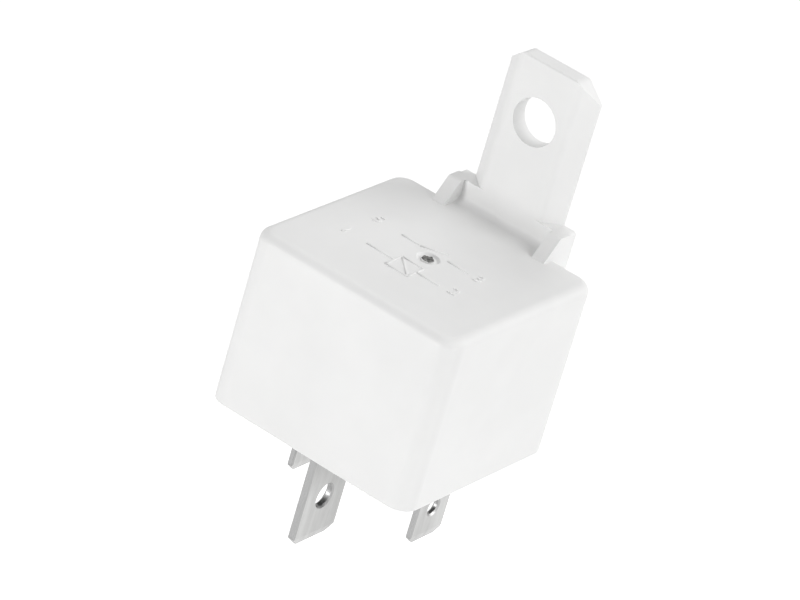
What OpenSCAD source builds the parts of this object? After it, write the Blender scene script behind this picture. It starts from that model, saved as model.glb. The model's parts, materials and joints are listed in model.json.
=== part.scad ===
// Four-blade automotive relay with a moulded mounting bracket.
// Millimetres. The origin is the middle of the seating face at the open end of the cover.
// +Z runs towards the bracket, +Y towards the side that carries it, +X across the two coil blades.
// The armature is drawn at rest, with the contacts open.

/* [Cover] */
// Width of the cover across the coil blades
cover_w = 29.0; // [28.6:0.1:33]
// Depth of the cover from its front face to the bracket side
cover_d = 29.0; // [28.9:0.1:31]
// Height of the cover
cover_h = 22.4; // [21.5:0.1:26]
// Thickness of the cover's side walls
cover_wall = 1.1; // [0.9:0.05:1.3]
// Thickness of the cover's top
cover_top_t = 1.3; // [1.0:0.05:1.8]
// Radius of the upright corners
cover_corner_r = 2.4; // [1.6:0.1:4.0]
// Radius along the edges of the top
cover_edge_r = 1.25; // [0.6:0.05:1.5]
// How far the ribs that stop the base stand out of the walls inside
rib_proud = 0.5; // [0.3:0.05:0.8]
// Width of those ribs
rib_w = 1.2; // [0.8:0.1:2.0]
// Diameter of the dimple round the moulding gate
gate_d = 2.9; // [2.0:0.1:3.6]

/* [Bracket] */
// Width of the bracket's tab at its back face
tab_w = 12.9; // [10.5:0.1:15]
// Thickness of the tab
tab_t = 2.5; // [2.2:0.1:3.2]
// Height of the tab above the cover's top
tab_h = 20.95; // [15:0.05:26]
// Bevel down each long side of the tab, the same along both faces
tab_bevel = 2.15; // [1.0:0.05:2.15]
// Rounding between the tab's front face and its bevels
tab_edge_r = 1.6; // [0.5:0.1:2.0]
// Width of the cut at each top corner of the tab
tab_cut_w = 2.55; // [1.0:0.05:3.0]
// Height of the cut at each top corner of the tab
tab_cut_h = 2.3; // [1.0:0.05:3.0]
// Distance from the cover's back face to the tab's front face
tab_stand_off = 0.6; // [0.3:0.05:1.2]
// Diameter of the mounting hole
hole_d = 5.9; // [4.2:0.1:6.5]
// Distance from the tab's top edge down to the middle of the hole
hole_drop = 7.3; // [6.0:0.05:9]
// Width of the shoulder that the tab grows out of
shoulder_w = 16.5; // [15.4:0.1:20]
// Height of the shoulder above the cover's top
shoulder_h = 2.7; // [2.0:0.1:4]
// Thickness of the two gussets
gusset_t = 1.75; // [1.2:0.05:2.2]
// How far a gusset's foot reaches over the cover's top
gusset_reach = 3.15; // [2.6:0.05:5]
// Flat length on top of a gusset, in front of the tab
gusset_flat = 0.85; // [0.5:0.05:1.4]
// Radius of the hollow between the cover's top and the tab
foot_r = 1.0; // [0.5:0.05:1.5]
// How far the bracket's root runs down the back face
root_drop = 6.0; // [4:0.1:10]

/* [Base and seal] */
// Thickness of the base
base_t = 3.0; // [2.4:0.1:3.6]
// Width of the resin groove round the underside of the base
groove_w = 0.8; // [0.5:0.05:0.9]
// Depth of that groove
groove_h = 1.0; // [0.6:0.05:1.6]
// Gap between the base and the cover's walls, on each side
base_fit = 0.05; // [0.03:0.01:0.12]
// Gap between a blade and its slot, on each side
slot_fit = 0.03; // [0.02:0.01:0.08]

/* [Blades] */
// Distance between the middles of the two coil blades
coil_pitch = 17.8; // [17.6:0.05:18.4]
// Distance of the coil blades' row behind the middle of the cover
coil_row_y = 1.75; // [1.5:0.05:2.0]
// Distance from the coil blades' row forward to the feed blade
feed_row = 9.75; // [9.5:0.05:9.9]
// Distance from the feed blade back to the switched blade
load_pitch = 16.8; // [16.6:0.05:17.2]
// Width of a coil blade
coil_blade_w = 6.3; // [4.8:0.1:6.5]
// Thickness of a coil blade
coil_blade_t = 0.8; // [0.6:0.05:1.0]
// Length of a coil blade below the seating face
coil_blade_l = 11.35; // [9:0.05:13]
// Diameter of the hole in a coil blade
coil_hole_d = 2.1; // [1.5:0.1:2.6]
// Distance from a coil blade's tip up to its hole
coil_hole_up = 4.35; // [3.5:0.05:5]
// Width of a load blade
load_blade_w = 8.0; // [6.3:0.1:8.3]
// Thickness of a load blade
load_blade_t = 1.0; // [0.8:0.05:1.2]
// Length of a load blade below the seating face
load_blade_l = 13.25; // [10:0.05:15]
// Diameter of the hole in a load blade
load_hole_d = 3.0; // [2.0:0.1:3.4]
// Distance from a load blade's tip up to its hole
load_hole_up = 5.95; // [4.5:0.05:6.5]
// Bevel along a blade's long edges
blade_edge = 0.18; // [0.05:0.01:0.22]

/* [Magnet] */
// Width of the yoke
yoke_w = 12.5; // [11.5:0.1:13.5]
// Thickness of the yoke's sheet
yoke_t = 1.7; // [1.4:0.05:2.0]
// Room between the cover's front wall and the yoke
front_room = 2.2; // [2.1:0.05:2.4]
// Diameter of the core
core_d = 5.6; // [4.6:0.1:6.4]
// Diameter of the core's pole face
pole_d = 9.0; // [7.5:0.1:9.6]
// Thickness of the pole face
pole_t = 1.0; // [0.8:0.05:1.4]
// Width of the armature
armature_w = 12.0; // [11:0.1:13]
// Thickness of the armature
armature_t = 1.5; // [1.2:0.05:1.8]
// Angle that the armature opens to
open_angle = 3.4; // [2.6:0.1:3.8]
// Air gap left between the closed armature and the pole face
pole_gap = 0.1; // [0.06:0.01:0.2]

/* [Coil] */
// Width of the bobbin's flanges across the relay
flange_w = 14.2; // [13.4:0.1:15]
// Thickness of the bobbin's flanges
flange_t = 0.9; // [0.7:0.05:1.2]
// Wall of the bobbin's tube
tube_wall = 0.8; // [0.6:0.05:1.1]
// How far the winding stays inside the flanges' edge
winding_inset = 0.6; // [0.4:0.05:1.2]
// Diameter of the winding's lead
lead_d = 0.35; // [0.25:0.01:0.45]

/* [Spring and contacts] */
// Thickness of the contact spring
spring_t = 0.25; // [0.2:0.01:0.32]
// Width of the contact spring over the armature
spring_w = 9.0; // [8:0.1:9.8]
// Diameter of the contacts' heads
contact_d = 3.4; // [2.8:0.1:3.8]
// Height of the moving contact's head
moving_head_h = 0.9; // [0.7:0.05:1.2]
// Height of the fixed contact's head
fixed_head_h = 0.8; // [0.6:0.05:1.1]
// Diameter of the rivets that hold the spring
rivet_d = 1.5; // [1.2:0.05:1.8]
// Thickness of the back stop's sheet
stop_t = 0.6; // [0.5:0.05:0.8]
// Room between the back stop and the cover's top
head_room = 0.75; // [0.4:0.05:1.2]

/* [Hidden] */
$fn = 64;
eps = 0.01;
over = 1;
arc_overlap = 0.2;

// Cover: the space inside, and where the bracket stands
cavity_w = cover_w - 2 * cover_wall;
cavity_d = cover_d - 2 * cover_wall;
cavity_r = cover_corner_r - cover_wall / 2;
ceiling_z = cover_h - cover_top_t;
ceiling_r = cover_edge_r / 2;
rib_inset = 6.4;
gate_at = [0.4, -0.5];
gate_depth = 0.3;
gate_r = 0.2;
pip_d = 1.7;
pip_sink = 0.1;
back_y = cover_d / 2;
tab_y = back_y + tab_stand_off;
bracket_y = tab_y + tab_t;
tab_z = cover_h + tab_h;
hole_z = tab_z - hole_drop;
shoulder_z = cover_h + shoulder_h;
shoulder_r = 0.5;
inner_r = 1.0;
cut_r = 1.2;
cut_foot_r = 0.6;
gusset_r = 0.5;
root_r = 0.6;
tab_top_r = 0.2;
root_lap = 0.2;
root_z = cover_h - root_drop;

// Base, and the blades' places in it
base_w = cavity_w - 2 * base_fit;
base_d = cavity_d - 2 * base_fit;
base_r = cavity_r - base_fit;
seal_fit = 0.02;
seal_sink = 0.15;
coil_x = coil_pitch / 2;
feed_y = coil_row_y - feed_row;
load_y = feed_y + load_pitch;
base_lap = 0.5;
pocket_w = 4.6;
pocket_front_l = 5.2;
pocket_back_l = 3.4;
pocket_h = 0.8;
pocket_r = 0.8;
foot_h = 1.2;
foot_over = 0.7;
foot_corner_r = 0.3;
tip_h = 1.05;
tip_r = 0.4;
tip_in = 0.15;
tip_thin = 0.35;
hole_rim = 0.2;

// Levels of the switch, counted down from the cover's top, and the hinge line of the armature
seat_gap = 0.05;
rest_gap = 0.08;
tail_h = 0.35;
tail_d = 2.0;
shank_d = 1.7;
contact_edge_r = 0.3;
tail_r = 0.15;
rivet_fit = 0.03;
contact_inset = 1.6;
contact_lip = 0.1;
contact_y = load_y - load_blade_t / 2 - contact_inset;
shelf_y = contact_y - contact_d / 2 - contact_lip;
shelf_w = load_blade_w * 0.75;
yoke_y = -cavity_d / 2 + front_room;
stop_z = ceiling_z - head_room - stop_t;
swing = contact_y - yoke_y;
stack_h = armature_t + spring_t + tail_h;
hinge_z = stop_z - rest_gap - swing * sin(open_angle) - stack_h * cos(open_angle);
yoke_top = hinge_z - seat_gap;
yoke_bend_r = yoke_t * 0.7;
pole_z = hinge_z - pole_gap;
spring_z = hinge_z + armature_t + spring_t / 2;
shelf_top = hinge_z + armature_t - moving_head_h - seat_gap - fixed_head_h;

// Magnet and coil: the bobbin fills the room between the yoke and the switched blade's shelf
flange_gap = 0.4;
flange_r = 1.5;
flange_y0 = yoke_y + yoke_t + flange_gap;
flange_y1 = shelf_y - flange_gap;
flange_d = flange_y1 - flange_y0;
coil_y = (flange_y0 + flange_y1) / 2;
bobbin_z0 = base_t + yoke_t;
bobbin_z1 = pole_z - pole_t;
core_fit = 0.05;
tube_d = core_d + 2 * core_fit + 2 * tube_wall;
winding_r = min(flange_d, flange_w) / 2 - winding_inset;
wind_gap = 0.05;
spigot_d = core_d * 0.7;
yoke_tail = 3.2;
yoke_end = coil_y + spigot_d / 2 + yoke_tail;
rail_y = [yoke_y + 2.5 * yoke_t, yoke_end - yoke_t / 2];
rail_t = 0.8;
rail_r = 0.3;
rail_h = yoke_t - rail_r;
tenon_w = 2.0;
tenon_back = 0.8;
tenon_y = feed_y + tenon_back;
tenon_sink = 0.05;
pole_edge_r = 0.3;
spigot_r = 0.2;
ear_w = 1.0;
ear_h = 1.1;
ear_gap = 0.2;
armature_over = 0.9;
armature_y1 = coil_y + pole_d / 2 + armature_over;
armature_r = 1.6;
notch_r = 0.3;
notch_room = 0.5;
notch_l = yoke_t + notch_room;

// Spring: two legs over the hinge, rivets on the armature and on the yoke
rivet_x = 2.9;
rivet_reach = 5.2;
rivet_rise = 3.3;
rivet_edge = 1.8;
arm_rivet_y = yoke_y + rivet_reach;
yoke_rivet_z = base_t + yoke_t + rivet_rise;
spring_foot_z = yoke_rivet_z - rivet_edge;
spring_out = 0.75;
spring_over = 2.2;
spring_tip_y = contact_y + spring_over;
spring_bend_r = 0.9;
spring_plan_r = 1.5;
spring_neck = 1.2;
spring_edge = 0.5;
spring_trim = 0.05;
spring_back = yoke_y - spring_out - spring_t - over;
bow_drop = 1.2;
bow_h = 1.2;
window_w = 3.4;
window_reach = 2.6;
window_drop = 4.0;
window_front = yoke_y + window_reach;
window_foot = yoke_top - window_drop;
head_d = 2.5;
head_h = 0.45;
head_r = 0.3;
sink_d = 2.3;
sink_h = 0.45;

// Leads: where each wire turns round its post
wire_gap = 0.02;
post_w = 0.9;
post_front = 0.9;
post_rise = 2.6;
post_y = coil_row_y - post_front;
post_top = bobbin_z0 + flange_t + post_rise;
wrap_r = norm([post_w, coil_blade_t]) / 2 + wire_gap + lead_d / 2;
wraps = 3;
lead_back = 0.8;
lead_rise = 0.6;
lead_z = bobbin_z0 + flange_t + lead_rise;
lead_run_r = winding_r + wire_gap + lead_d / 2;

// Back stop and the base's block that holds it
stop_w = 4.4;
tang_w = 3.0;
stop_behind = 1.5;
stop_reach = 1.4;
stop_y = load_y + load_blade_t / 2 + stop_behind;
stop_front = contact_y - stop_reach;
stop_sink = 1.9;
stop_foot_gap = 0.1;
stop_bend_r = 0.9;
block_h = 2.4;
block_wall = 0.9;
block_r = 0.5;

// ---- Outlines with true arcs ----

function unit(v) = v / norm(v);
function corner(p, i) = p[(i + len(p)) % len(p)];
function turn(p, i) = cross(corner(p, i) - corner(p, i - 1), corner(p, i + 1) - corner(p, i));
function to_last(p, i) = unit(corner(p, i - 1) - corner(p, i));
function to_next(p, i) = unit(corner(p, i + 1) - corner(p, i));
function half_angle(p, i) = acos(to_last(p, i) * to_next(p, i)) / 2;
function arc_start(p, i, r) = corner(p, i) + to_last(p, i) * r / tan(half_angle(p, i));
function arc_end(p, i, r) = corner(p, i) + to_next(p, i) * r / tan(half_angle(p, i));
function arc_mid(p, i, r) = corner(p, i) + unit(to_last(p, i) + to_next(p, i)) * r / sin(half_angle(p, i));
function chord_or_corner(p, i, r) = r > 0 ? [arc_start(p, i, r), arc_end(p, i, r)] : [corner(p, i)];

// The sliver between an arc at corner i and the chord across that corner, carried a little past the chord
module arc_segment(p, i, r) {
    middle = arc_mid(p, i, r);
    chord = chord_or_corner(p, i, r);
    past = (chord[0] + chord[1]) / 2 * (1 - arc_overlap) + middle * arc_overlap;
    intersection() {
        polygon([chord[0], corner(p, i), chord[1], past]);
        translate(middle)
            circle(r);
    }
}

// A polygon, drawn anticlockwise, with corner i rounded or hollowed to radius r[i]
module rounded_outline(p, r) {
    last = len(p) - 1;
    difference() {
        union() {
            polygon([for (i = [0 : last]) each chord_or_corner(p, i, r[i])]);
            for (i = [0 : last])
                if (r[i] > 0 && turn(p, i) > 0)
                    arc_segment(p, i, r[i]);
        }
        for (i = [0 : last])
            if (r[i] > 0 && turn(p, i) < 0)
                arc_segment(p, i, r[i]);
    }
}

// Corner i of a path of sheet, moved sideways to the left by s
function left_of(v) = [-v[1], v[0]];
function beside(p, i, s) =
    i == 0 ? p[0] + left_of(unit(p[1] - p[0])) * s :
    i == len(p) - 1 ? p[i] + left_of(unit(p[i] - p[i - 1])) * s :
    p[i] + unit(left_of(unit(p[i] - p[i - 1])) + left_of(unit(p[i + 1] - p[i]))) * s
        / cos(acos(unit(p[i] - p[i - 1]) * unit(p[i + 1] - p[i])) / 2);
function is_end(p, i) = i == 0 || i == len(p) - 1;
function bend_sign(p, i) = is_end(p, i) ? 0 : sign(cross(p[i] - p[i - 1], p[i + 1] - p[i]));
function side_r(p, r, i, s) = is_end(p, i) ? 0 : r - bend_sign(p, i) * s;

// Side view of a sheet of thickness t bent along a path, with radius r at the middle of its thickness
module bent_sheet(p, t, r) {
    there = [0 : len(p) - 1];
    back = [len(p) - 1 : -1 : 0];
    rounded_outline(
        concat([for (i = there) beside(p, i, -t / 2)], [for (i = back) beside(p, i, t / 2)]),
        concat([for (i = there) side_r(p, r, i, -t / 2)], [for (i = back) side_r(p, r, i, t / 2)])
    );
}

// ---- Ways of standing a flat outline up ----

// The outline's x and y become Y and Z, and it is w wide across X
module across_x(w) {
    translate([-w / 2, 0, 0])
        rotate([90, 0, 90])
            linear_extrude(w)
                children();
}

// The outline's x and y become X and Z, and it runs from y0 to y1
module along_y(y0, y1) {
    translate([0, y1, 0])
        rotate([90, 0, 0])
            linear_extrude(y1 - y0)
                children();
}

module rectangle(w, d, r) {
    rounded_outline([[-w / 2, -d / 2], [w / 2, -d / 2], [w / 2, d / 2], [-w / 2, d / 2]], [r, r, r, r]);
}

module block(x, y, z) {
    translate([x[0], y[0], z[0]])
        cube([x[1] - x[0], y[1] - y[0], z[1] - z[0]]);
}

// A block standing on z = 0 with round upright corners and a round edge along its top
module rounded_block(w, d, h, corner_r, edge_r) {
    across_x(w - 2 * corner_r)
        rounded_outline([[-d / 2, 0], [d / 2, 0], [d / 2, h], [-d / 2, h]], [0, 0, edge_r, edge_r]);
    along_y(corner_r - d / 2, d / 2 - corner_r)
        rounded_outline([[-w / 2, 0], [w / 2, 0], [w / 2, h], [-w / 2, h]], [0, 0, edge_r, edge_r]);
    for (sx = [-1, 1], sy = [-1, 1])
        translate([sx * (w / 2 - corner_r), sy * (d / 2 - corner_r), 0])
            rotate_extrude()
                rounded_outline([[0, 0], [corner_r, 0], [corner_r, h], [0, h]], [0, 0, edge_r, 0]);
}

// Turned profile, with its points as radius and height
module turned(p, r) {
    rotate_extrude()
        rounded_outline(p, r);
}

// ---- Cover and bracket ----

// Side view of the bracket: root on the back face, hollow at its foot, and tab
module bracket_side() {
    inside = back_y - cover_edge_r - root_lap;
    rounded_outline([
        [back_y - cover_wall / 2, root_z],
        [back_y, root_z],
        [bracket_y, root_z + tab_stand_off + tab_t],
        [bracket_y, tab_z],
        [tab_y, tab_z],
        [tab_y, cover_h],
        [inside, cover_h],
        [inside, cover_h - cover_top_t / 2],
        [back_y - cover_wall / 2, cover_h - cover_top_t / 2]
    ], [0, 0, root_r, tab_top_r, tab_top_r, foot_r, 0, 0, 0]);
}

// Front view of the bracket: shoulder and tab with its two cut corners
module bracket_front() {
    s = shoulder_w / 2;
    t = tab_w / 2;
    rounded_outline([
        [-s, root_z - over], [s, root_z - over], [s, shoulder_z], [t, shoulder_z],
        [t, tab_z - tab_cut_h], [t - tab_cut_w, tab_z], [tab_cut_w - t, tab_z], [-t, tab_z - tab_cut_h],
        [-t, shoulder_z], [-s, shoulder_z]
    ], [0, 0, shoulder_r, inner_r, cut_foot_r, cut_r, cut_r, cut_foot_r, inner_r, shoulder_r]);
}

// Plan of the tab: a dovetail, with its wide face at the back
module tab_plan() {
    t = tab_w / 2;
    f = t - tab_bevel;
    wide_y = tab_y + tab_bevel;
    rounded_outline(
        [[-f, tab_y], [f, tab_y], [t, wide_y], [t, bracket_y], [-t, bracket_y], [-t, wide_y]],
        [tab_edge_r, tab_edge_r, 0, 0, 0, 0]
    );
}

module gusset() {
    foot_y = tab_y - gusset_reach;
    buried = cover_h - cover_top_t / 2;
    translate([shoulder_w / 2 - gusset_t / 2, 0, 0])
        across_x(gusset_t)
            rounded_outline([
                [foot_y, buried], [tab_y + tab_t / 2, buried], [tab_y + tab_t / 2, shoulder_z],
                [tab_y - gusset_flat, shoulder_z], [foot_y, cover_h]
            ], [0, 0, 0, gusset_r, 0]);
}

module bracket() {
    intersection() {
        across_x(shoulder_w)
            bracket_side();
        along_y(0, bracket_y + over)
            bracket_front();
        union() {
            block([-shoulder_w, shoulder_w], [0, bracket_y + over], [root_z - over, shoulder_z]);
            translate([0, 0, shoulder_z])
                linear_extrude(tab_h)
                    tab_plan();
        }
    }
    for (m = [0, 1])
        mirror([m, 0, 0])
            gusset();
}

// Ribs inside the walls, which end on the base's top face
module stop_ribs() {
    rib = [rib_proud + cover_wall / 2, rib_w, ceiling_z - base_t + cover_top_t / 2];
    for (s = [-1, 1], m = [0, 1], across = [false, true])
        rotate([0, 0, across ? 90 : 0])
            mirror([m, 0, 0])
                translate([(across ? cavity_d : cavity_w) / 2, s * rib_inset, base_t])
                    translate([-rib_proud, -rib_w / 2, 0])
                        cube(rib);
}

module gate_dimple() {
    translate([gate_at[0], gate_at[1], cover_h])
        turned([
            [0, -gate_depth], [gate_d / 2 - gate_depth, -gate_depth],
            [gate_d / 2, 0], [gate_d / 2, over], [0, over]
        ], [0, gate_r, 0, 0, 0]);
}

module cover() {
    color([0.93, 0.93, 0.92]) {
        difference() {
            union() {
                rounded_block(cover_w, cover_d, cover_h, cover_corner_r, cover_edge_r);
                bracket();
            }
            difference() {
                translate([0, 0, -over])
                    rounded_block(cavity_w, cavity_d, ceiling_z + over, cavity_r, ceiling_r);
                stop_ribs();
            }
            translate([0, bracket_y + over, hole_z])
                rotate([90, 0, 0])
                    cylinder(d = hole_d, h = tab_t + 2 * over);
            difference() {
                gate_dimple();
                translate([gate_at[0], gate_at[1], cover_h - 2 * gate_depth])
                    cylinder(d = pip_d, h = 2 * gate_depth - pip_sink);
            }
        }
    }
}

// ---- Base and resin ----

module blade_slots() {
    for (s = [-1, 1])
        translate([s * coil_x, coil_row_y, -over])
            linear_extrude(base_t + 2 * over)
                rectangle(coil_blade_t + 2 * slot_fit, coil_blade_w + 2 * slot_fit, 0);
    translate([0, feed_y, -over])
        linear_extrude(base_t + 2 * over)
            rectangle(load_blade_t + 2 * slot_fit, load_blade_w + 2 * slot_fit, 0);
    translate([0, load_y, -over])
        linear_extrude(base_t + block_h + 2 * over)
            rectangle(load_blade_w + 2 * slot_fit, load_blade_t + 2 * slot_fit, 0);
}

// The block behind the switched blade, which also holds the back stop
module stop_block() {
    y0 = load_y - load_blade_t / 2 - block_wall;
    y1 = stop_y + stop_t / 2 + block_wall;
    w = load_blade_w + 2 * block_wall;
    translate([0, (y0 + y1) / 2, base_t - base_lap])
        linear_extrude(block_h + base_lap)
            rectangle(w, y1 - y0, block_r);
}

module yoke_rails() {
    middle = (rail_y[0] + rail_y[1]) / 2;
    for (s = [-1, 1])
        translate([s * (yoke_w / 2 + slot_fit + rail_t / 2), middle, base_t - base_lap])
            linear_extrude(rail_h + base_lap)
                rectangle(rail_t, rail_y[1] - rail_y[0], rail_r);
}

module base() {
    color([0.16, 0.16, 0.17])
        difference() {
            union() {
                translate([0, 0, groove_h])
                    linear_extrude(base_t - groove_h)
                        rectangle(base_w, base_d, base_r);
                linear_extrude(groove_h + eps)
                    rectangle(base_w - 2 * groove_w, base_d - 2 * groove_w, base_r - groove_w / 2);
                stop_block();
                yoke_rails();
            }
            blade_slots();
            translate([0, stop_y, base_t - stop_sink - stop_foot_gap])
                linear_extrude(base_t + block_h)
                    rectangle(tang_w + 2 * slot_fit, stop_t + 2 * slot_fit, 0);
            for (s = [-1, 1], y = [feed_y, load_y])
                translate([s * coil_x, y, -over])
                    linear_extrude(pocket_h + over)
                        rectangle(pocket_w, y == feed_y ? pocket_front_l : pocket_back_l, pocket_r);
        }
}

module sealing_resin() {
    color([0.12, 0.1, 0.09])
        translate([0, 0, seal_sink])
            linear_extrude(groove_h - seal_sink - seal_fit)
                difference() {
                    rectangle(cavity_w - 2 * seal_fit, cavity_d - 2 * seal_fit, cavity_r - seal_fit);
                    rectangle(base_w - 2 * groove_w + 2 * seal_fit, base_d - 2 * groove_w + 2 * seal_fit,
                        base_r - groove_w / 2);
                }
}

// ---- Blades ----

// Half outline of a blade's tip, mirrored: w wide, cut back by c at z = -l, and straight up to z1
function tip_outline(w, c, h, l, z1) = [
    [c - w / 2, -l], [w / 2 - c, -l], [w / 2, h - l], [w / 2, z1], [-w / 2, z1], [-w / 2, h - l]
];

// A blade w wide along X and t thick along Y, from its tip up to z1
module blade(w, t, l, z1, hole, hole_up) {
    e = blade_edge;
    difference() {
        intersection() {
            along_y(-t / 2, t / 2)
                rounded_outline(
                    tip_outline(w, w * tip_in, tip_h * w / load_blade_w, l, z1),
                    [tip_r, tip_r, tip_r, 0, 0, tip_r]
                );
            across_x(w)
                polygon(tip_outline(t, tip_thin * t, tip_h, l, z1));
            translate([0, 0, -l])
                linear_extrude(l + z1)
                    polygon([
                        [e - w / 2, -t / 2], [w / 2 - e, -t / 2], [w / 2, e - t / 2], [w / 2, t / 2 - e],
                        [w / 2 - e, t / 2], [e - w / 2, t / 2], [-w / 2, t / 2 - e], [-w / 2, e - t / 2]
                    ]);
        }
        translate([0, 0, hole_up - l])
            rotate([90, 0, 0])
                blade_hole(hole, t);
    }
}

module blade_hole(d, t) {
    cylinder(d = d, h = t + over, center = true);
    for (m = [0, 1])
        mirror([0, 0, m])
            translate([0, 0, t / 2 - hole_rim])
                cylinder(d1 = d, d2 = d + 4 * hole_rim, h = 2 * hole_rim);
}

// The wider foot that rests on the base
module blade_foot(w, t) {
    along_y(-t / 2, t / 2)
        translate([0, base_t + foot_h / 2])
            rectangle(w + 2 * foot_over, foot_h, foot_corner_r);
}

module coil_terminal() {
    post_mid = post_y - coil_row_y;
    rotate([0, 0, 90]) {
        blade(coil_blade_w, coil_blade_t, coil_blade_l, base_t + eps, coil_hole_d, coil_hole_up);
        blade_foot(coil_blade_w, coil_blade_t);
    }
    block([-coil_blade_t / 2, coil_blade_t / 2], [post_mid - post_w / 2, post_mid + post_w / 2],
        [base_t + foot_h / 2, post_top]);
}

module terminal_85() {
    color([0.72, 0.72, 0.71])
        translate([-coil_x, coil_row_y, 0])
            coil_terminal();
}

module terminal_86() {
    color([0.72, 0.72, 0.71])
        translate([coil_x, coil_row_y, 0])
            coil_terminal();
}

// The feed blade stands edge on to the yoke, with a tenon staked through it
module terminal_30() {
    color([0.72, 0.72, 0.71]) {
        translate([0, feed_y, 0])
            rotate([0, 0, 90])
                blade(load_blade_w, load_blade_t, load_blade_l, base_t, load_hole_d, load_hole_up);
        block([-load_blade_t / 2, load_blade_t / 2], [tenon_y - tenon_w / 2, tenon_y + tenon_w / 2],
            [base_t - base_lap, base_t + yoke_t - tenon_sink]);
    }
}

// The switched blade bends forward into a shelf for the fixed contact
module terminal_87() {
    t = load_blade_t;
    shelf_z = shelf_top - t / 2;
    color([0.72, 0.72, 0.71])
        difference() {
            union() {
                translate([0, load_y, 0])
                    blade(load_blade_w, t, load_blade_l, base_t + block_h, load_hole_d, load_hole_up);
                translate([0, load_y, block_h])
                    blade_foot(load_blade_w, t);
                across_x(shelf_w)
                    bent_sheet([[load_y, base_t], [load_y, shelf_z], [shelf_y, shelf_z]], t, t);
            }
            translate([0, contact_y, shelf_top - t - over])
                rivet_bore(shank_d, t + 2 * over);
        }
}

// ---- Magnet ----

// Hole for a shank of diameter d
module rivet_bore(d, h) {
    cylinder(d = d + 2 * rivet_fit, h = h);
}

module yoke() {
    mid_z = base_t + yoke_t / 2;
    mid_y = yoke_y + yoke_t / 2;
    tenon_half = tenon_w / 2 + slot_fit;
    color([0.62, 0.62, 0.6])
        difference() {
            union() {
                across_x(yoke_w)
                    bent_sheet([[yoke_end, mid_z], [mid_y, mid_z], [mid_y, yoke_top]], yoke_t, yoke_bend_r);
                for (s = [-1, 1])
                    translate([s * (yoke_w - ear_w) / 2, yoke_y, 0])
                        block([-ear_w / 2, ear_w / 2], [0, yoke_t], [yoke_top - over, yoke_top + ear_h]);
            }
            translate([0, coil_y, base_t - over])
                cylinder(d = spigot_d + 2 * core_fit, h = yoke_t + 2 * over);
            block([-load_blade_t / 2 - slot_fit, load_blade_t / 2 + slot_fit],
                [tenon_y - tenon_half, tenon_y + tenon_half], [base_t - over, bobbin_z0 + over]);
            at_yoke_rivets()
                rivet_shape(yoke_t, rivet_fit);
        }
}

module iron_core() {
    r = core_d / 2;
    p = pole_d / 2;
    s = spigot_d / 2;
    color([0.58, 0.58, 0.57])
        translate([0, coil_y, 0])
            turned([
                [0, base_t + tenon_sink], [s, base_t + tenon_sink], [s, bobbin_z0], [r, bobbin_z0],
                [r, bobbin_z1], [p, bobbin_z1], [p, pole_z], [0, pole_z]
            ], [0, spigot_r, 0, 0, 0, 0, pole_edge_r, 0]);
}

module armature_plan() {
    rear = yoke_w / 2 - ear_w - ear_gap;
    w = armature_w / 2;
    y0 = yoke_y;
    y1 = yoke_y + notch_l;
    rounded_outline([
        [-rear, y0], [rear, y0], [rear, y1], [w, y1],
        [w, armature_y1], [-w, armature_y1], [-w, y1], [-rear, y1]
    ], [0, 0, notch_r, notch_r, armature_r, armature_r, notch_r, notch_r]);
}

// Turns what is drawn closed about the hinge line to the rest position
module opened() {
    translate([0, yoke_y, hinge_z])
        rotate([open_angle, 0, 0])
            translate([0, -yoke_y, -hinge_z])
                children();
}

module armature() {
    color([0.62, 0.62, 0.6])
        opened()
            difference() {
                translate([0, 0, hinge_z])
                    linear_extrude(armature_t)
                        armature_plan();
                at_armature_rivets()
                    rivet_shape(armature_t, rivet_fit);
            }
}

// ---- Coil ----

module bobbin() {
    h = bobbin_z1 - bobbin_z0;
    color([0.82, 0.8, 0.72])
        translate([0, coil_y, bobbin_z0])
            difference() {
                union() {
                    linear_extrude(flange_t)
                        rectangle(flange_w, flange_d, flange_r);
                    translate([0, 0, h - flange_t])
                        linear_extrude(flange_t)
                            rectangle(flange_w, flange_d, flange_r);
                    cylinder(d = tube_d, h = h);
                }
                translate([0, 0, -over])
                    cylinder(d = core_d + 2 * core_fit, h = h + 2 * over);
            }
}

module coil_winding() {
    a = tube_d / 2 + wind_gap;
    z0 = bobbin_z0 + flange_t + wind_gap;
    z1 = bobbin_z1 - flange_t - wind_gap;
    color([0.72, 0.33, 0.16])
        translate([0, coil_y, 0])
            turned([[a, z0], [winding_r, z0], [winding_r, z1], [a, z1]], [0, lead_d, lead_d, 0]);
}

// One end of the winding: it leaves the coil along a tangent and ends in a few turns round the blade's post
module coil_lead() {
    away = [coil_x, post_y - coil_y];
    spread = norm(away);
    start_at = atan2(away[1], away[0]) - acos(lead_run_r / spread);
    run = sqrt(spread * spread - lead_run_r * lead_run_r);
    inner = wrap_r - lead_d / 2;
    outer = wrap_r + lead_d / 2;
    h = wraps * lead_d;
    translate([lead_run_r * cos(start_at), coil_y + lead_run_r * sin(start_at), lead_z])
        rotate([0, 90, start_at + 90])
            translate([0, 0, -lead_back])
                cylinder(d = lead_d, h = run + lead_back - wrap_r);
    translate([coil_x, post_y, lead_z - h / 2])
        turned([[inner, 0], [outer, 0], [outer, h], [inner, h]], [0, 0.4 * lead_d, 0.4 * lead_d, 0]);
}

module coil_lead_86() {
    color([0.75, 0.38, 0.2])
        coil_lead();
}

module coil_lead_85() {
    color([0.75, 0.38, 0.2])
        mirror([1, 0, 0])
            coil_lead();
}

// ---- Spring, rivets and contacts ----

// A point of the closed armature, as Y and Z, where it lies at rest
function rest_point(p) = [yoke_y, hinge_z] + [
    (p[0] - yoke_y) * cos(open_angle) - (p[1] - hinge_z) * sin(open_angle),
    (p[0] - yoke_y) * sin(open_angle) + (p[1] - hinge_z) * cos(open_angle)
];

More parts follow.
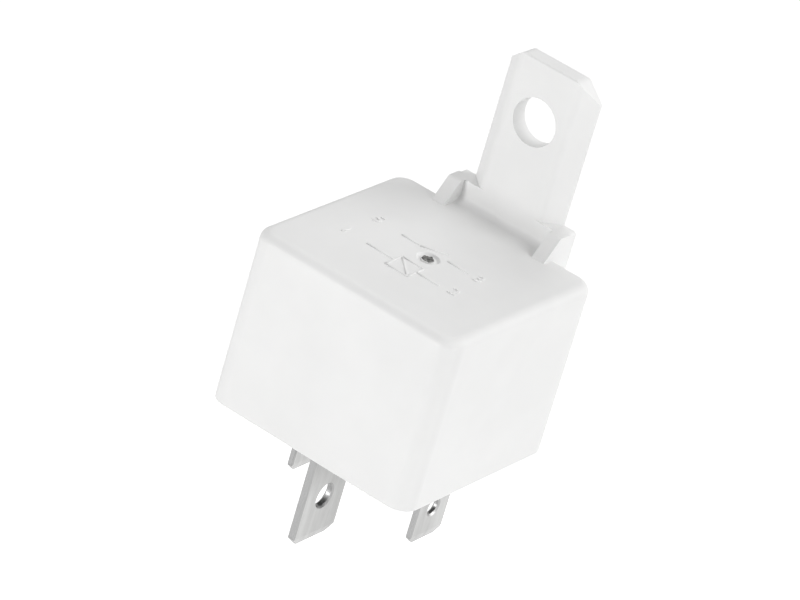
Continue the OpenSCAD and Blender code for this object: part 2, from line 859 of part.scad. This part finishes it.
module spring_side() {
    out_y = yoke_y - spring_t / 2 - spring_out;
    lie_y = yoke_y - spring_t / 2;
    bent_sheet([
        rest_point([spring_tip_y, spring_z]),
        rest_point([out_y, spring_z]),
        [out_y, yoke_top - bow_drop],
        [lie_y, yoke_top - bow_drop - bow_h],
        [lie_y, spring_foot_z]
    ], spring_t, spring_bend_r);
}

// Plan of the spring: full width on the armature, and a round tip behind the contact
module spring_plan() {
    w = spring_w / 2;
    tip = contact_d / 2 + spring_edge;
    neck_y = [armature_y1 - spring_neck, contact_y - spring_neck];
    tip_y = spring_tip_y - spring_trim;
    r = spring_plan_r;
    rounded_outline([
        [-w, spring_back], [w, spring_back], [w, neck_y[0]], [tip, neck_y[1]], [tip, tip_y],
        [-tip, tip_y], [-tip, neck_y[1]], [-w, neck_y[0]]
    ], [0, 0, r, r, tip - spring_trim, tip - spring_trim, r, r]);
}

module contact_spring() {
    color([0.78, 0.55, 0.32])
        difference() {
            intersection() {
                across_x(spring_w)
                    spring_side();
                linear_extrude(cover_h)
                    spring_plan();
            }
            block([-window_w / 2, window_w / 2], [spring_back, window_front], [window_foot, cover_h]);
            at_yoke_rivets()
                translate([0, 0, yoke_t - over])
                    rivet_bore(rivet_d, spring_t + 2 * over);
            opened() {
                at_armature_rivets()
                    translate([0, 0, armature_t - over])
                        rivet_bore(rivet_d, spring_t + 2 * over);
                translate([0, contact_y, spring_z - over])
                    rivet_bore(shank_d, spring_t + 2 * over);
            }
        }
}

// A countersunk shank through a sheet from z = 0 to its far face at t, grown all round by f
module rivet_shape(t, f) {
    translate([0, 0, -f])
        cylinder(d1 = sink_d + 2 * f, d2 = rivet_d + 2 * f, h = sink_h);
    translate([0, 0, -f])
        cylinder(d = rivet_d + 2 * f, h = t + 2 * f);
}

module rivet(t) {
    rivet_shape(t, 0);
    cylinder(d = rivet_d, h = t + spring_t + head_h / 2);
    translate([0, 0, t + spring_t])
        turned([[0, 0], [head_d / 2, 0], [head_d / 2, head_h], [0, head_h]], [0, 0, head_r, 0]);
}

module at_armature_rivets() {
    for (s = [-1, 1])
        translate([s * rivet_x, arm_rivet_y, hinge_z])
            children();
}

module at_yoke_rivets() {
    for (s = [-1, 1])
        translate([s * rivet_x, yoke_y + yoke_t, yoke_rivet_z])
            rotate([90, 0, 0])
                children();
}

module armature_rivets() {
    color([0.8, 0.68, 0.4])
        opened()
            at_armature_rivets()
                rivet(armature_t);
}

module yoke_rivets() {
    color([0.8, 0.68, 0.4])
        at_yoke_rivets()
            rivet(yoke_t);
}

// Contact rivet: its head is under z = 0 and its tail is over a sheet of thickness t
module contact_rivet(t, h) {
    turned([
        [0, -h], [contact_d / 2, -h], [contact_d / 2, 0], [shank_d / 2, 0], [shank_d / 2, t],
        [tail_d / 2, t], [tail_d / 2, t + tail_h], [0, t + tail_h]
    ], [0, contact_edge_r, 0, 0, 0, 0, tail_r, 0]);
}

module moving_contact() {
    color([0.85, 0.85, 0.83])
        opened()
            translate([0, contact_y, hinge_z + armature_t])
                contact_rivet(spring_t, moving_head_h);
}

module fixed_contact() {
    color([0.85, 0.85, 0.83])
        translate([0, contact_y, shelf_top])
            mirror([0, 0, 1])
                contact_rivet(load_blade_t, fixed_head_h);
}

module back_stop() {
    mid_z = stop_z + stop_t / 2;
    foot_z = base_t - stop_sink;
    color([0.72, 0.72, 0.71])
        difference() {
            across_x(stop_w)
                bent_sheet([[stop_y, foot_z], [stop_y, mid_z], [stop_front, mid_z]], stop_t, stop_bend_r);
            for (s = [-1, 1])
                translate([s * (tang_w + stop_w) / 2, 0, 0])
                    block([-stop_w / 2, stop_w / 2], [stop_y - over, stop_y + over], [0, base_t + block_h]);
        }
}

cover();
base();
sealing_resin();
terminal_30();
terminal_87();
terminal_85();
terminal_86();
yoke();
iron_core();
bobbin();
coil_winding();
coil_lead_85();
coil_lead_86();
armature();
contact_spring();
armature_rivets();
yoke_rivets();
moving_contact();
fixed_contact();
back_stop();
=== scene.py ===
import json
import math
import random

import bmesh
import bpy
from mathutils import Matrix, Vector


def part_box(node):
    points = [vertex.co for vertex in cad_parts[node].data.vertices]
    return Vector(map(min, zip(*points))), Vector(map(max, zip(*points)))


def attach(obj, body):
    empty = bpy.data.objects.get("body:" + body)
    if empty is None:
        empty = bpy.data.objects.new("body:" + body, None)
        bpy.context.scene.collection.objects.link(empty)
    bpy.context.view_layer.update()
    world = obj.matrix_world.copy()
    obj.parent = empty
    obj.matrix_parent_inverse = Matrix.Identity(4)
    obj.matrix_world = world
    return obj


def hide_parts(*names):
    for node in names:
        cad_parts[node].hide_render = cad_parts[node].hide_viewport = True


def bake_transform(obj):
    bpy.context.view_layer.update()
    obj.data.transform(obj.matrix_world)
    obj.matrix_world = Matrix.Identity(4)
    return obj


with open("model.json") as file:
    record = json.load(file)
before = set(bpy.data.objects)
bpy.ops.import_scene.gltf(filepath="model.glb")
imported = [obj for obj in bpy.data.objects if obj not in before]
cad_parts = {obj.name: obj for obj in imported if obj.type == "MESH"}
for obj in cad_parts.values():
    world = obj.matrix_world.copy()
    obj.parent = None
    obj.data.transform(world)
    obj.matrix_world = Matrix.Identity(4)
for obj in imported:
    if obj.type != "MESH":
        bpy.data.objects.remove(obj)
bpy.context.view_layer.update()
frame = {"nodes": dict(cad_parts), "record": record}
MM = 0.001  # the relay and the camera are written in millimetres, the floor and the lamps in metres


# ---------------------------------------------------------------- shader nodes

NOISE_ROUGHNESS = 0.55
CLOUD_BAND = (0.35, 0.65)  # where the noise passes from the first tone to the second
GRAIN_BAND = (0.3, 0.7)


def new_material(name):
    mat = bpy.data.materials.new(name)
    mat.use_nodes = True
    tree = mat.node_tree
    tree.nodes.clear()
    out = tree.nodes.new("ShaderNodeOutputMaterial")
    bsdf = tree.nodes.new("ShaderNodeBsdfPrincipled")
    tree.links.new(bsdf.outputs["BSDF"], out.inputs["Surface"])
    return mat, tree, bsdf, out


def object_coords(tree, stretch=(1, 1, 1)):
    coords = tree.nodes.new("ShaderNodeTexCoord")
    mapping = tree.nodes.new("ShaderNodeMapping")
    mapping.inputs["Scale"].default_value = stretch
    tree.links.new(coords.outputs["Object"], mapping.inputs["Vector"])
    return mapping.outputs["Vector"]


def noise(tree, vector, scale, detail=3.0):
    node = tree.nodes.new("ShaderNodeTexNoise")
    node.inputs["Scale"].default_value = scale
    node.inputs["Detail"].default_value = detail
    node.inputs["Roughness"].default_value = NOISE_ROUGHNESS
    tree.links.new(vector, node.inputs["Vector"])
    return node.outputs["Fac"]


def two_tones(tree, fac, first, second):
    node = tree.nodes.new("ShaderNodeValToRGB")
    for element, place, tone in zip(node.color_ramp.elements, CLOUD_BAND, (first, second)):
        element.position = place
        element.color = (*tone, 1)
    tree.links.new(fac, node.inputs["Fac"])
    return node.outputs["Color"]


def value_range(tree, fac, low, high):
    node = tree.nodes.new("ShaderNodeMapRange")
    node.inputs["From Min"].default_value = GRAIN_BAND[0]
    node.inputs["From Max"].default_value = GRAIN_BAND[1]
    node.inputs["To Min"].default_value = low
    node.inputs["To Max"].default_value = high
    tree.links.new(fac, node.inputs["Value"])
    return node.outputs["Result"]


def bump(tree, bsdf, height, distance, strength):
    node = tree.nodes.new("ShaderNodeBump")
    node.inputs["Distance"].default_value = distance
    node.inputs["Strength"].default_value = strength
    tree.links.new(height, node.inputs["Height"])
    tree.links.new(node.outputs["Normal"], bsdf.inputs["Normal"])


def narrow_face_shade(tree, color, axis, tone):
    """The colour, with the faces across an axis in a darker tone: painted shade on the blades' narrow faces.
    """
    coords = tree.nodes.new("ShaderNodeTexCoord")
    split = tree.nodes.new("ShaderNodeSeparateXYZ")
    size = tree.nodes.new("ShaderNodeMath")
    size.operation = "ABSOLUTE"
    mix = tree.nodes.new("ShaderNodeMixRGB")
    mix.inputs["Color2"].default_value = (*tone, 1)
    tree.links.new(coords.outputs["Normal"], split.inputs["Vector"])
    tree.links.new(split.outputs[axis], size.inputs[0])
    tree.links.new(size.outputs[0], mix.inputs["Fac"])
    tree.links.new(color, mix.inputs["Color1"])
    return mix.outputs["Color"]


# ---------------------------------------------------------------- materials

def surface(name, low, high, rough, cloud, grain, relief, strength,
            metallic=0.0, stretch=(1, 1, 1), narrow_shade=None):
    """Clouded colour between two tones, uneven roughness and a fine relief, its depth in mm."""
    mat, tree, bsdf, _ = new_material(name)
    vector = object_coords(tree, stretch)
    clouds = noise(tree, vector, cloud)
    fine = noise(tree, vector, grain, detail=4.0)
    color = two_tones(tree, clouds, low, high)
    # painted shade: faces across the given axis take a darker tone
    if narrow_shade:
        color = narrow_face_shade(tree, color, *narrow_shade)
    tree.links.new(color, bsdf.inputs["Base Color"])
    tree.links.new(value_range(tree, fine, *rough), bsdf.inputs["Roughness"])
    bsdf.inputs["Metallic"].default_value = metallic
    bump(tree, bsdf, fine, relief * MM, strength)
    return mat


TINNED = dict(low=(0.42, 0.42, 0.415), high=(0.54, 0.54, 0.535), rough=(0.3, 0.46), metallic=1.0,
              cloud=420, grain=3000, stretch=(1, 1, 0.12), relief=0.004, strength=0.3)
# darker tone painted on the blades' narrow faces: painted shade
NARROW_FACE_SHADE_TONE = (0.3, 0.3, 0.3)

MATERIAL_OF_SLOT = {
    "cover_plastic": surface("cover_plastic_look", (0.855, 0.855, 0.85), (0.885, 0.885, 0.88),
                             rough=(0.42, 0.52), cloud=90, grain=4200, relief=0.006, strength=0.35),
    "base_plastic": surface("base_plastic_look", (0.035, 0.035, 0.038), (0.06, 0.06, 0.064),
                            rough=(0.45, 0.6), cloud=300, grain=5200, relief=0.01, strength=0.4),
    "resin": surface("resin_look", (0.02, 0.018, 0.016), (0.04, 0.036, 0.032),
                     rough=(0.12, 0.25), cloud=200, grain=900, relief=0.02, strength=0.4),
    "tinned_copper": surface("tinned_copper_look", **TINNED),
    "magnet_steel": surface("magnet_steel_look", (0.42, 0.42, 0.43), (0.54, 0.54, 0.55),
                            rough=(0.3, 0.5), metallic=1.0, cloud=350, grain=3600,
                            relief=0.005, strength=0.3),
    "bobbin_plastic": surface("bobbin_plastic_look", (0.68, 0.62, 0.48), (0.78, 0.73, 0.6),
                              rough=(0.45, 0.6), cloud=160, grain=3600, relief=0.006, strength=0.3),
    "enamelled_wire": surface("enamelled_wire_look", (0.5, 0.14, 0.05), (0.68, 0.24, 0.1),
                              rough=(0.18, 0.32), metallic=0.85, cloud=260, grain=2600,
                              relief=0.002, strength=0.2),
    "spring_bronze": surface("spring_bronze_look", (0.55, 0.34, 0.16), (0.68, 0.45, 0.24),
                             rough=(0.25, 0.4), metallic=1.0, cloud=260, grain=3200,
                             stretch=(1, 0.1, 1), relief=0.003, strength=0.25),
    "rivet_brass": surface("rivet_brass_look", (0.6, 0.44, 0.18), (0.74, 0.58, 0.3),
                           rough=(0.25, 0.4), metallic=1.0, cloud=500, grain=4000,
                           relief=0.004, strength=0.3),
    "contact_silver": surface("contact_silver_look", (0.72, 0.72, 0.7), (0.85, 0.85, 0.83),
                              rough=(0.2, 0.34), metallic=1.0, cloud=600, grain=4200,
                              relief=0.003, strength=0.25),
}

# The blades stand either way round, so their narrow faces, darkened by painted shade, face along Y or along
# X.
edges_on_y = surface("tinned_blade_look", narrow_shade=("Y", NARROW_FACE_SHADE_TONE), **TINNED)
edges_on_x = surface("tinned_blade_87_look", narrow_shade=("X", NARROW_FACE_SHADE_TONE), **TINNED)
MATERIAL_OF_BLADE = {"terminal_30": edges_on_y, "terminal_85": edges_on_y,
                     "terminal_86": edges_on_y, "terminal_87": edges_on_x}

slot_of_node = {entry["node"]: entry["material_slot"] for entry in frame["record"]["subparts"]}
for node_name, node_object in frame["nodes"].items():
    look = MATERIAL_OF_BLADE.get(node_name, MATERIAL_OF_SLOT[slot_of_node[node_name]])
    for material_slot in node_object.material_slots:
        material_slot.material = look


# ---------------------------------------------------------------- meshes

def add_object(name, data):
    obj = bpy.data.objects.new(name, data)
    bpy.context.scene.collection.objects.link(obj)
    return obj


def mesh_object(name, verts, faces, slot, look=None, smooth=True):
    """A closed mesh given in mm, in the look of its slot unless it has one of its own."""
    mesh = bpy.data.meshes.new(name)
    mesh.from_pydata([Vector(v) * MM for v in verts], [], faces)
    mesh.materials.append(look or MATERIAL_OF_SLOT[slot])
    bm = bmesh.new()
    bm.from_mesh(mesh)
    bmesh.ops.recalc_face_normals(bm, faces=bm.faces)
    for face in bm.faces:
        face.smooth = smooth
    bm.to_mesh(mesh)
    bm.free()
    obj = add_object(name, mesh)
    return obj


def ring_faces(rings, around, closed=False):
    """Quads between neighbouring rings of points, all with the same number of points."""
    faces = []
    for i in range(rings if closed else rings - 1):
        near, far = i * around, (i + 1) % rings * around
        for k in range(around):
            m = (k + 1) % around
            faces.append((near + k, near + m, far + m, far + k))
    return faces


def tube(path, radius, sides):
    """Round bar along a path of points, with closed ends: vertices and faces."""
    path = [Vector(p) for p in path]
    last = len(path) - 1
    side = (path[1] - path[0]).normalized().orthogonal().normalized()
    verts = []
    for i, point in enumerate(path):
        ahead = (path[min(i + 1, last)] - path[max(i - 1, 0)]).normalized()
        side = (side - ahead * side.dot(ahead)).normalized()
        up = ahead.cross(side)
        for k in range(sides):
            turn = 2 * math.pi * k / sides
            verts.append(point + (side * math.cos(turn) + up * math.sin(turn)) * radius)
    faces = ring_faces(len(path), sides)
    faces.append(tuple(range(sides)))
    faces.append(tuple(last * sides + k for k in range(sides)))
    return verts, faces


def joined(parts):
    """Several lists of vertices and faces as one."""
    verts, faces = [], []
    for part_verts, part_faces in parts:
        base = len(verts)
        verts += part_verts
        faces += [tuple(i + base for i in face) for face in part_faces]
    return verts, faces


# ---------------------------------------------------------------- symbol moulded on the cover's top

TOP_Z = 22.4  # top face of the cover, which the bracket's tab overtops
RIDGE_R = 0.16
RIDGE_SINK = 0.04  # depth of a ridge's middle below the face
RIDGE_SIDES = 10

SWITCH_LINE_Y = 1.1
BOX_LINE_Y = -4.7
BOX_LEFT, BOX_RIGHT = -1.4, 1.75
BOX_FRONT, BOX_BACK = -6.5, -3.15


def ridge(*points):
    path = [(x, y, TOP_Z - RIDGE_SINK) for x, y in points]
    return tube(path, RIDGE_R, RIDGE_SIDES)


def symbol_ridges():
    """A switch with its arm open, over a coil: a box with a diagonal and a line to each side."""
    return [
        ridge((-4.64, SWITCH_LINE_Y), (-2.15, SWITCH_LINE_Y)),
        ridge((-1.9, 1.0), (1.2, 2.5)),
        ridge((2.07, SWITCH_LINE_Y), (5.05, SWITCH_LINE_Y)),
        ridge((-5.47, BOX_LINE_Y), (BOX_LEFT, BOX_LINE_Y)),
        ridge((BOX_RIGHT, BOX_LINE_Y), (5.06, BOX_LINE_Y)),
        ridge((BOX_LEFT, BOX_FRONT), (BOX_RIGHT, BOX_FRONT)),
        ridge((BOX_LEFT, BOX_BACK), (BOX_RIGHT, BOX_BACK)),
        ridge((BOX_LEFT, BOX_FRONT), (BOX_LEFT, BOX_BACK)),
        ridge((BOX_RIGHT, BOX_FRONT), (BOX_RIGHT, BOX_BACK)),
        ridge((BOX_LEFT, BOX_BACK), (BOX_RIGHT, BOX_FRONT)),
    ]


symbol = mesh_object("top_symbol", *joined(symbol_ridges()), "cover_plastic")
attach(symbol, "housing")


# ---------------------------------------------------------------- contact numbers on top and underside

TOP_DIGIT_H = 1.7
BASE_DIGIT_H = 1.8
BASE_Z = 0.0  # underside of the base, from which the blades hang
DIGIT_RELIEF = 0.09
DIGIT_BEVEL = 0.02
FONT_SHARE = 0.72  # height of a figure as a share of the font's size
CURVE_STEPS = 6


def figures_mesh(name, text, height):
    """The figures as a raised mesh, from Blender's own font."""
    curve = bpy.data.curves.new(name + "_curve", "FONT")
    curve.body = text
    curve.size = height * MM / FONT_SHARE
    curve.extrude = DIGIT_RELIEF * MM
    curve.bevel_depth = DIGIT_BEVEL * MM
    curve.align_x = "CENTER"
    curve.align_y = "CENTER"
    curve.resolution_u = CURVE_STEPS
    holder = add_object(name + "_curve", curve)
    bpy.context.view_layer.update()
    depsgraph = bpy.context.evaluated_depsgraph_get()
    mesh = bpy.data.meshes.new_from_object(holder.evaluated_get(depsgraph))
    bpy.data.objects.remove(holder)
    mesh.name = name
    return mesh


def digits(name, text, x, y, z, height, slot, face_down=False):
    """Figures standing proud of a flat face, readable from above, or from below if face_down."""
    mesh = figures_mesh(name, text, height)
    flip = Matrix.Rotation(math.pi, 4, "Y") if face_down else Matrix.Identity(4)
    mesh.transform(Matrix.Translation(Vector((x, y, z)) * MM) @ flip)
    mesh.materials.clear()
    mesh.materials.append(MATERIAL_OF_SLOT[slot])
    obj = add_object(name, mesh)
    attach(obj, "housing")


for name, text, x, y in (
    ("top_digit_a", "3", 6.56, 1.14),
    ("top_digit_b", "5", -8.30, 1.34),
    ("top_digit_c", "2", 6.83, -4.21),
    ("top_digit_d", "1", -8.73, -4.46),
):
    digits(name, text, x, y, TOP_Z, TOP_DIGIT_H, "cover_plastic")

for name, text, x, y in (
    ("base_digits_30", "30", 3.6, -8.0),
    ("base_digits_87", "87", 0.0, 6.2),
    ("base_digits_85", "85", -5.9, 1.75),
    ("base_digits_86", "86", 5.9, 1.75),
):
    digits(name, text, x, y, BASE_Z, BASE_DIGIT_H, "base_plastic", face_down=True)


# ---------------------------------------------------------------- scar of the moulding gate

GATE_X, GATE_Y = 0.4, -0.5
PIP_Z = TOP_Z - 0.1  # top of the pip that stands in the dimple
SCAR_SEED = 7
SCAR_R = 0.84
SCAR_RINGS, SCAR_AROUND = 5, 22
SCAR_SPREAD = 0.05  # how far a point strays along the radius, as a share of it
SCAR_CROWN, SCAR_RELIEF = 0.05, 0.16
RIM_SINK, FOOT_SINK = 0.06, 0.12


def gate_scar():
    """Rough stub where the gate was broken off, on the pip in the dimple."""
    dice = random.Random(SCAR_SEED)
    verts = [(GATE_X, GATE_Y, PIP_Z + SCAR_CROWN)]
    for i in range(1, SCAR_RINGS + 1):
        for k in range(SCAR_AROUND):
            turn = 2 * math.pi * k / SCAR_AROUND
            r = SCAR_R * i / SCAR_RINGS * (1 + dice.uniform(-SCAR_SPREAD, SCAR_SPREAD))
            z = PIP_Z + (dice.uniform(0.0, SCAR_RELIEF) if i < SCAR_RINGS else -RIM_SINK)
            verts.append((GATE_X + r * math.cos(turn), GATE_Y + r * math.sin(turn), z))
    verts.append((GATE_X, GATE_Y, PIP_Z - FOOT_SINK))
    crown, rim, foot = 1, 1 + (SCAR_RINGS - 1) * SCAR_AROUND, len(verts) - 1
    faces = []
    for k in range(SCAR_AROUND):
        faces.append((0, crown + k, crown + (k + 1) % SCAR_AROUND))
    for face in ring_faces(SCAR_RINGS, SCAR_AROUND):
        faces.append(tuple(i + crown for i in face))
    for k in range(SCAR_AROUND):
        faces.append((foot, rim + (k + 1) % SCAR_AROUND, rim + k))
    return verts, faces


# dark grey tones on the gate's stub: painted shade, the stub being the cover's own pale plastic
scar_shade_look = surface("gate_scar_shade_look", (0.06, 0.06, 0.058), (0.3, 0.3, 0.29), rough=(0.6, 0.8),
                    cloud=2200, grain=6000, relief=0.02, strength=0.6)
scar = mesh_object("gate_scar", *gate_scar(), "cover_plastic", look=scar_shade_look, smooth=False)
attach(scar, "housing")


# ---------------------------------------------------------------- winding and its two ends

wind_low, wind_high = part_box("coil_winding")
COIL_Y = (wind_low.y + wind_high.y) / 2 / MM
WIND_R = (wind_high.x - wind_low.x) / 2 / MM
WIND_Z0, WIND_Z1 = wind_low.z / MM, wind_high.z / MM
TUBE_R = 3.71  # bore of the winding, just clear of the bobbin's tube
WIRE = 0.35
WIRE_LAP = 0.01  # room between turns that lie side by side
END_ROOM = 0.1
GROOVE_DEPTH = 0.32 * WIRE
WIND_STEPS, WIND_AROUND = 8, 64  # levels to each turn of wire, and points round the winding


def winding():
    """Outer layer as a surface with one rib a turn, running round as a helix; plain ends and bore."""
    turns = int((WIND_Z1 - WIND_Z0 - END_ROOM) / (WIRE + WIRE_LAP))
    steps = turns * WIND_STEPS
    outer = [WIND_Z0 + (WIND_Z1 - WIND_Z0) * i / steps for i in range(steps + 1)]
    levels = [WIND_Z0] + outer + [WIND_Z1]
    verts = []
    for i, z in enumerate(levels):
        on_bore = i in (0, len(levels) - 1)
        for k in range(WIND_AROUND):
            turn = 2 * math.pi * k / WIND_AROUND
            groove = 1 - abs(math.sin(math.pi * ((i - 1) / WIND_STEPS - k / WIND_AROUND)))
            r = TUBE_R if on_bore else WIND_R - GROOVE_DEPTH * groove
            verts.append((r * math.cos(turn), COIL_Y + r * math.sin(turn), z))
    return verts, ring_faces(len(levels), WIND_AROUND, closed=True)


coil = mesh_object("winding_turns", *winding(), "enamelled_wire")
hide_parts("coil_winding")
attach(coil, "housing")

POST_X, POST_Y = 8.9, 0.85  # the post of a coil blade
WRAP_R = 0.797  # from the post's middle to the middle of the wire turned round it
WRAPS, WRAP_STEPS = 3, 22
WRAP_RISE = 2 * WIRE
RUN_GAP = 0.02  # between the winding and the end that leaves it
RUN_POINTS = 9
RUN_STEP = math.radians(8)
LEAD_SIDES = 10


def lead_path(sign):
    """From the winding's side along a tangent to the post, then round the post."""
    lead_low, lead_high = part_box("coil_lead_86")
    z_low = (lead_low.z + lead_high.z) / 2 / MM - WRAP_RISE / 2
    run_r = WIND_R + WIRE / 2 + RUN_GAP
    away = Vector((POST_X, POST_Y - COIL_Y))
    aim = math.atan2(away.y, away.x) - math.acos((run_r - WRAP_R) / away.length)
    path = []
    for k in range(RUN_POINTS):
        turn = aim - RUN_STEP * (RUN_POINTS - 1 - k)
        path.append((sign * run_r * math.cos(turn), COIL_Y + run_r * math.sin(turn), z_low))
    steps = WRAPS * WRAP_STEPS
    for k in range(steps + 1):
        turn = aim + 2 * math.pi * k / WRAP_STEPS
        x, y = POST_X + WRAP_R * math.cos(turn), POST_Y + WRAP_R * math.sin(turn)
        path.append((sign * x, y, z_low + WRAP_RISE * k / steps))
    return path


for name, node_name, sign in (
    ("lead_wire_86", "coil_lead_86", 1),
    ("lead_wire_85", "coil_lead_85", -1),
):
    wire = mesh_object(name, *tube(lead_path(sign), WIRE / 2, LEAD_SIDES), "enamelled_wire")
    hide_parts(node_name)
    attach(wire, "housing")


# ---------------------------------------------------------------- contact spring, a copy of its part

spring = add_object("spring_bent", frame["nodes"]["contact_spring"].data.copy())
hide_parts("contact_spring")
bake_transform(spring)


# ---------------------------------------------------------------- world and floor

AMBIENT = 0.35
FLOOR_GLOW = 0.55  # added for the camera only, so that the floor reads as white
FLOOR_Z = -0.3
FLOOR_HALF = 6.0
FLOOR_CLOUD = 3.0
FLOOR_TONES = (0.86, 0.86, 0.86), (0.88, 0.88, 0.88)


def light_path_mix(tree, seen, unseen, out):
    """seen for camera, glossy and transmission rays; unseen for the rest."""
    path = tree.nodes.new("ShaderNodeLightPath")
    first = tree.nodes.new("ShaderNodeMath")
    first.operation = "MAXIMUM"
    second = tree.nodes.new("ShaderNodeMath")
    second.operation = "MAXIMUM"
    mix = tree.nodes.new("ShaderNodeMixShader")
    tree.links.new(path.outputs["Is Camera Ray"], first.inputs[0])
    tree.links.new(path.outputs["Is Glossy Ray"], first.inputs[1])
    tree.links.new(first.outputs[0], second.inputs[0])
    tree.links.new(path.outputs["Is Transmission Ray"], second.inputs[1])
    tree.links.new(second.outputs[0], mix.inputs["Fac"])
    tree.links.new(unseen, mix.inputs[1])
    tree.links.new(seen, mix.inputs[2])
    tree.links.new(mix.outputs[0], out)


def studio_world():
    """White where it is seen, and a weaker light on everything else."""
    world = bpy.data.worlds.new("studio")
    bpy.context.scene.world = world
    world.use_nodes = True
    tree = world.node_tree
    tree.nodes.clear()
    out = tree.nodes.new("ShaderNodeOutputWorld")
    white = tree.nodes.new("ShaderNodeBackground")
    white.inputs["Color"].default_value = (1, 1, 1, 1)
    white.inputs["Strength"].default_value = 1.0
    ambient = tree.nodes.new("ShaderNodeBackground")
    ambient.inputs["Color"].default_value = (1, 1, 1, 1)
    ambient.inputs["Strength"].default_value = AMBIENT
    light_path_mix(tree, white.outputs[0], ambient.outputs[0], out.inputs["Surface"])


def floor_look():
    mat, tree, bsdf, out = new_material("floor_look")
    clouds = noise(tree, object_coords(tree), FLOOR_CLOUD)
    tree.links.new(two_tones(tree, clouds, *FLOOR_TONES), bsdf.inputs["Base Color"])
    bsdf.inputs["Roughness"].default_value = 0.9
    bsdf.inputs["Specular IOR Level"].default_value = 0.1
    glow = tree.nodes.new("ShaderNodeEmission")
    glow.inputs["Color"].default_value = (1, 1, 1, 1)
    glow.inputs["Strength"].default_value = FLOOR_GLOW
    both = tree.nodes.new("ShaderNodeAddShader")
    tree.links.new(bsdf.outputs[0], both.inputs[0])
    tree.links.new(glow.outputs[0], both.inputs[1])
    light_path_mix(tree, both.outputs[0], bsdf.outputs[0], out.inputs["Surface"])
    return mat


def add_floor():
    mesh = bpy.data.meshes.new("floor")
    corners = [(-1, -1), (1, -1), (1, 1), (-1, 1)]
    mesh.from_pydata([(x * FLOOR_HALF, y * FLOOR_HALF, FLOOR_Z) for x, y in corners], [], [(0, 1, 2, 3)])
    mesh.materials.append(floor_look())
    add_object("floor", mesh)


studio_world()
add_floor()


# ---------------------------------------------------------------- lamps

LAMP_AIM = Vector((0, 0, 12)) * MM
LAMP_DISTANCE = 0.9


def towards(azimuth, elevation):
    """Unit vector from the object to a point at that azimuth (0 is the front) and elevation."""
    a, e = math.radians(azimuth), math.radians(elevation)
    return Vector((math.sin(a) * math.cos(e), -math.cos(a) * math.cos(e), math.sin(e)))


def softbox(name, azimuth, elevation, side, watts):
    lamp = bpy.data.lights.new(name, "AREA")
    lamp.shape = "SQUARE"
    lamp.size = side
    lamp.energy = watts
    direction = towards(azimuth, elevation)
    obj = add_object(name, lamp)
    obj.location = LAMP_AIM + direction * LAMP_DISTANCE
    obj.rotation_mode = "QUATERNION"
    obj.rotation_quaternion = (-direction).to_track_quat("-Z", "Y")


softbox("front_box", azimuth=-15, elevation=1, side=0.25, watts=3.75)
softbox("side_box", azimuth=84, elevation=-6, side=0.5, watts=1.5)
softbox("back_box", azimuth=215, elevation=55, side=0.6, watts=1.8)
softbox("back_side_box", azimuth=118, elevation=38, side=0.7, watts=4.5)


# ---------------------------------------------------------------- camera

CAMERA_AIM = Vector((-1.83, 0, 15.51)) * MM
CAMERA_AZIMUTH, CAMERA_ELEVATION = 28.89, 26.95
CAMERA_ROLL = math.radians(16.66)  # the photo's frame is turned, and the relay stands upright
CAMERA_DISTANCE = 609.97 * MM


def add_camera():
    data = bpy.data.cameras.new("camera")
    data.lens = 240.07
    data.sensor_width = 36.0
    data.clip_start = 0.05
    data.clip_end = 50.0
    back = towards(CAMERA_AZIMUTH, CAMERA_ELEVATION)
    level_right = (-back).cross(Vector((0, 0, 1))).normalized()
    level_up = level_right.cross(-back)
    right = level_right * math.cos(CAMERA_ROLL) + level_up * math.sin(CAMERA_ROLL)
    up = level_up * math.cos(CAMERA_ROLL) - level_right * math.sin(CAMERA_ROLL)
    turned = Matrix((right, up, back)).transposed().to_4x4()
    obj = add_object("camera", data)
    obj.matrix_world = Matrix.Translation(CAMERA_AIM + back * CAMERA_DISTANCE) @ turned
    bpy.context.scene.camera = obj


add_camera()
bpy.context.scene.view_settings.view_transform = "Standard"
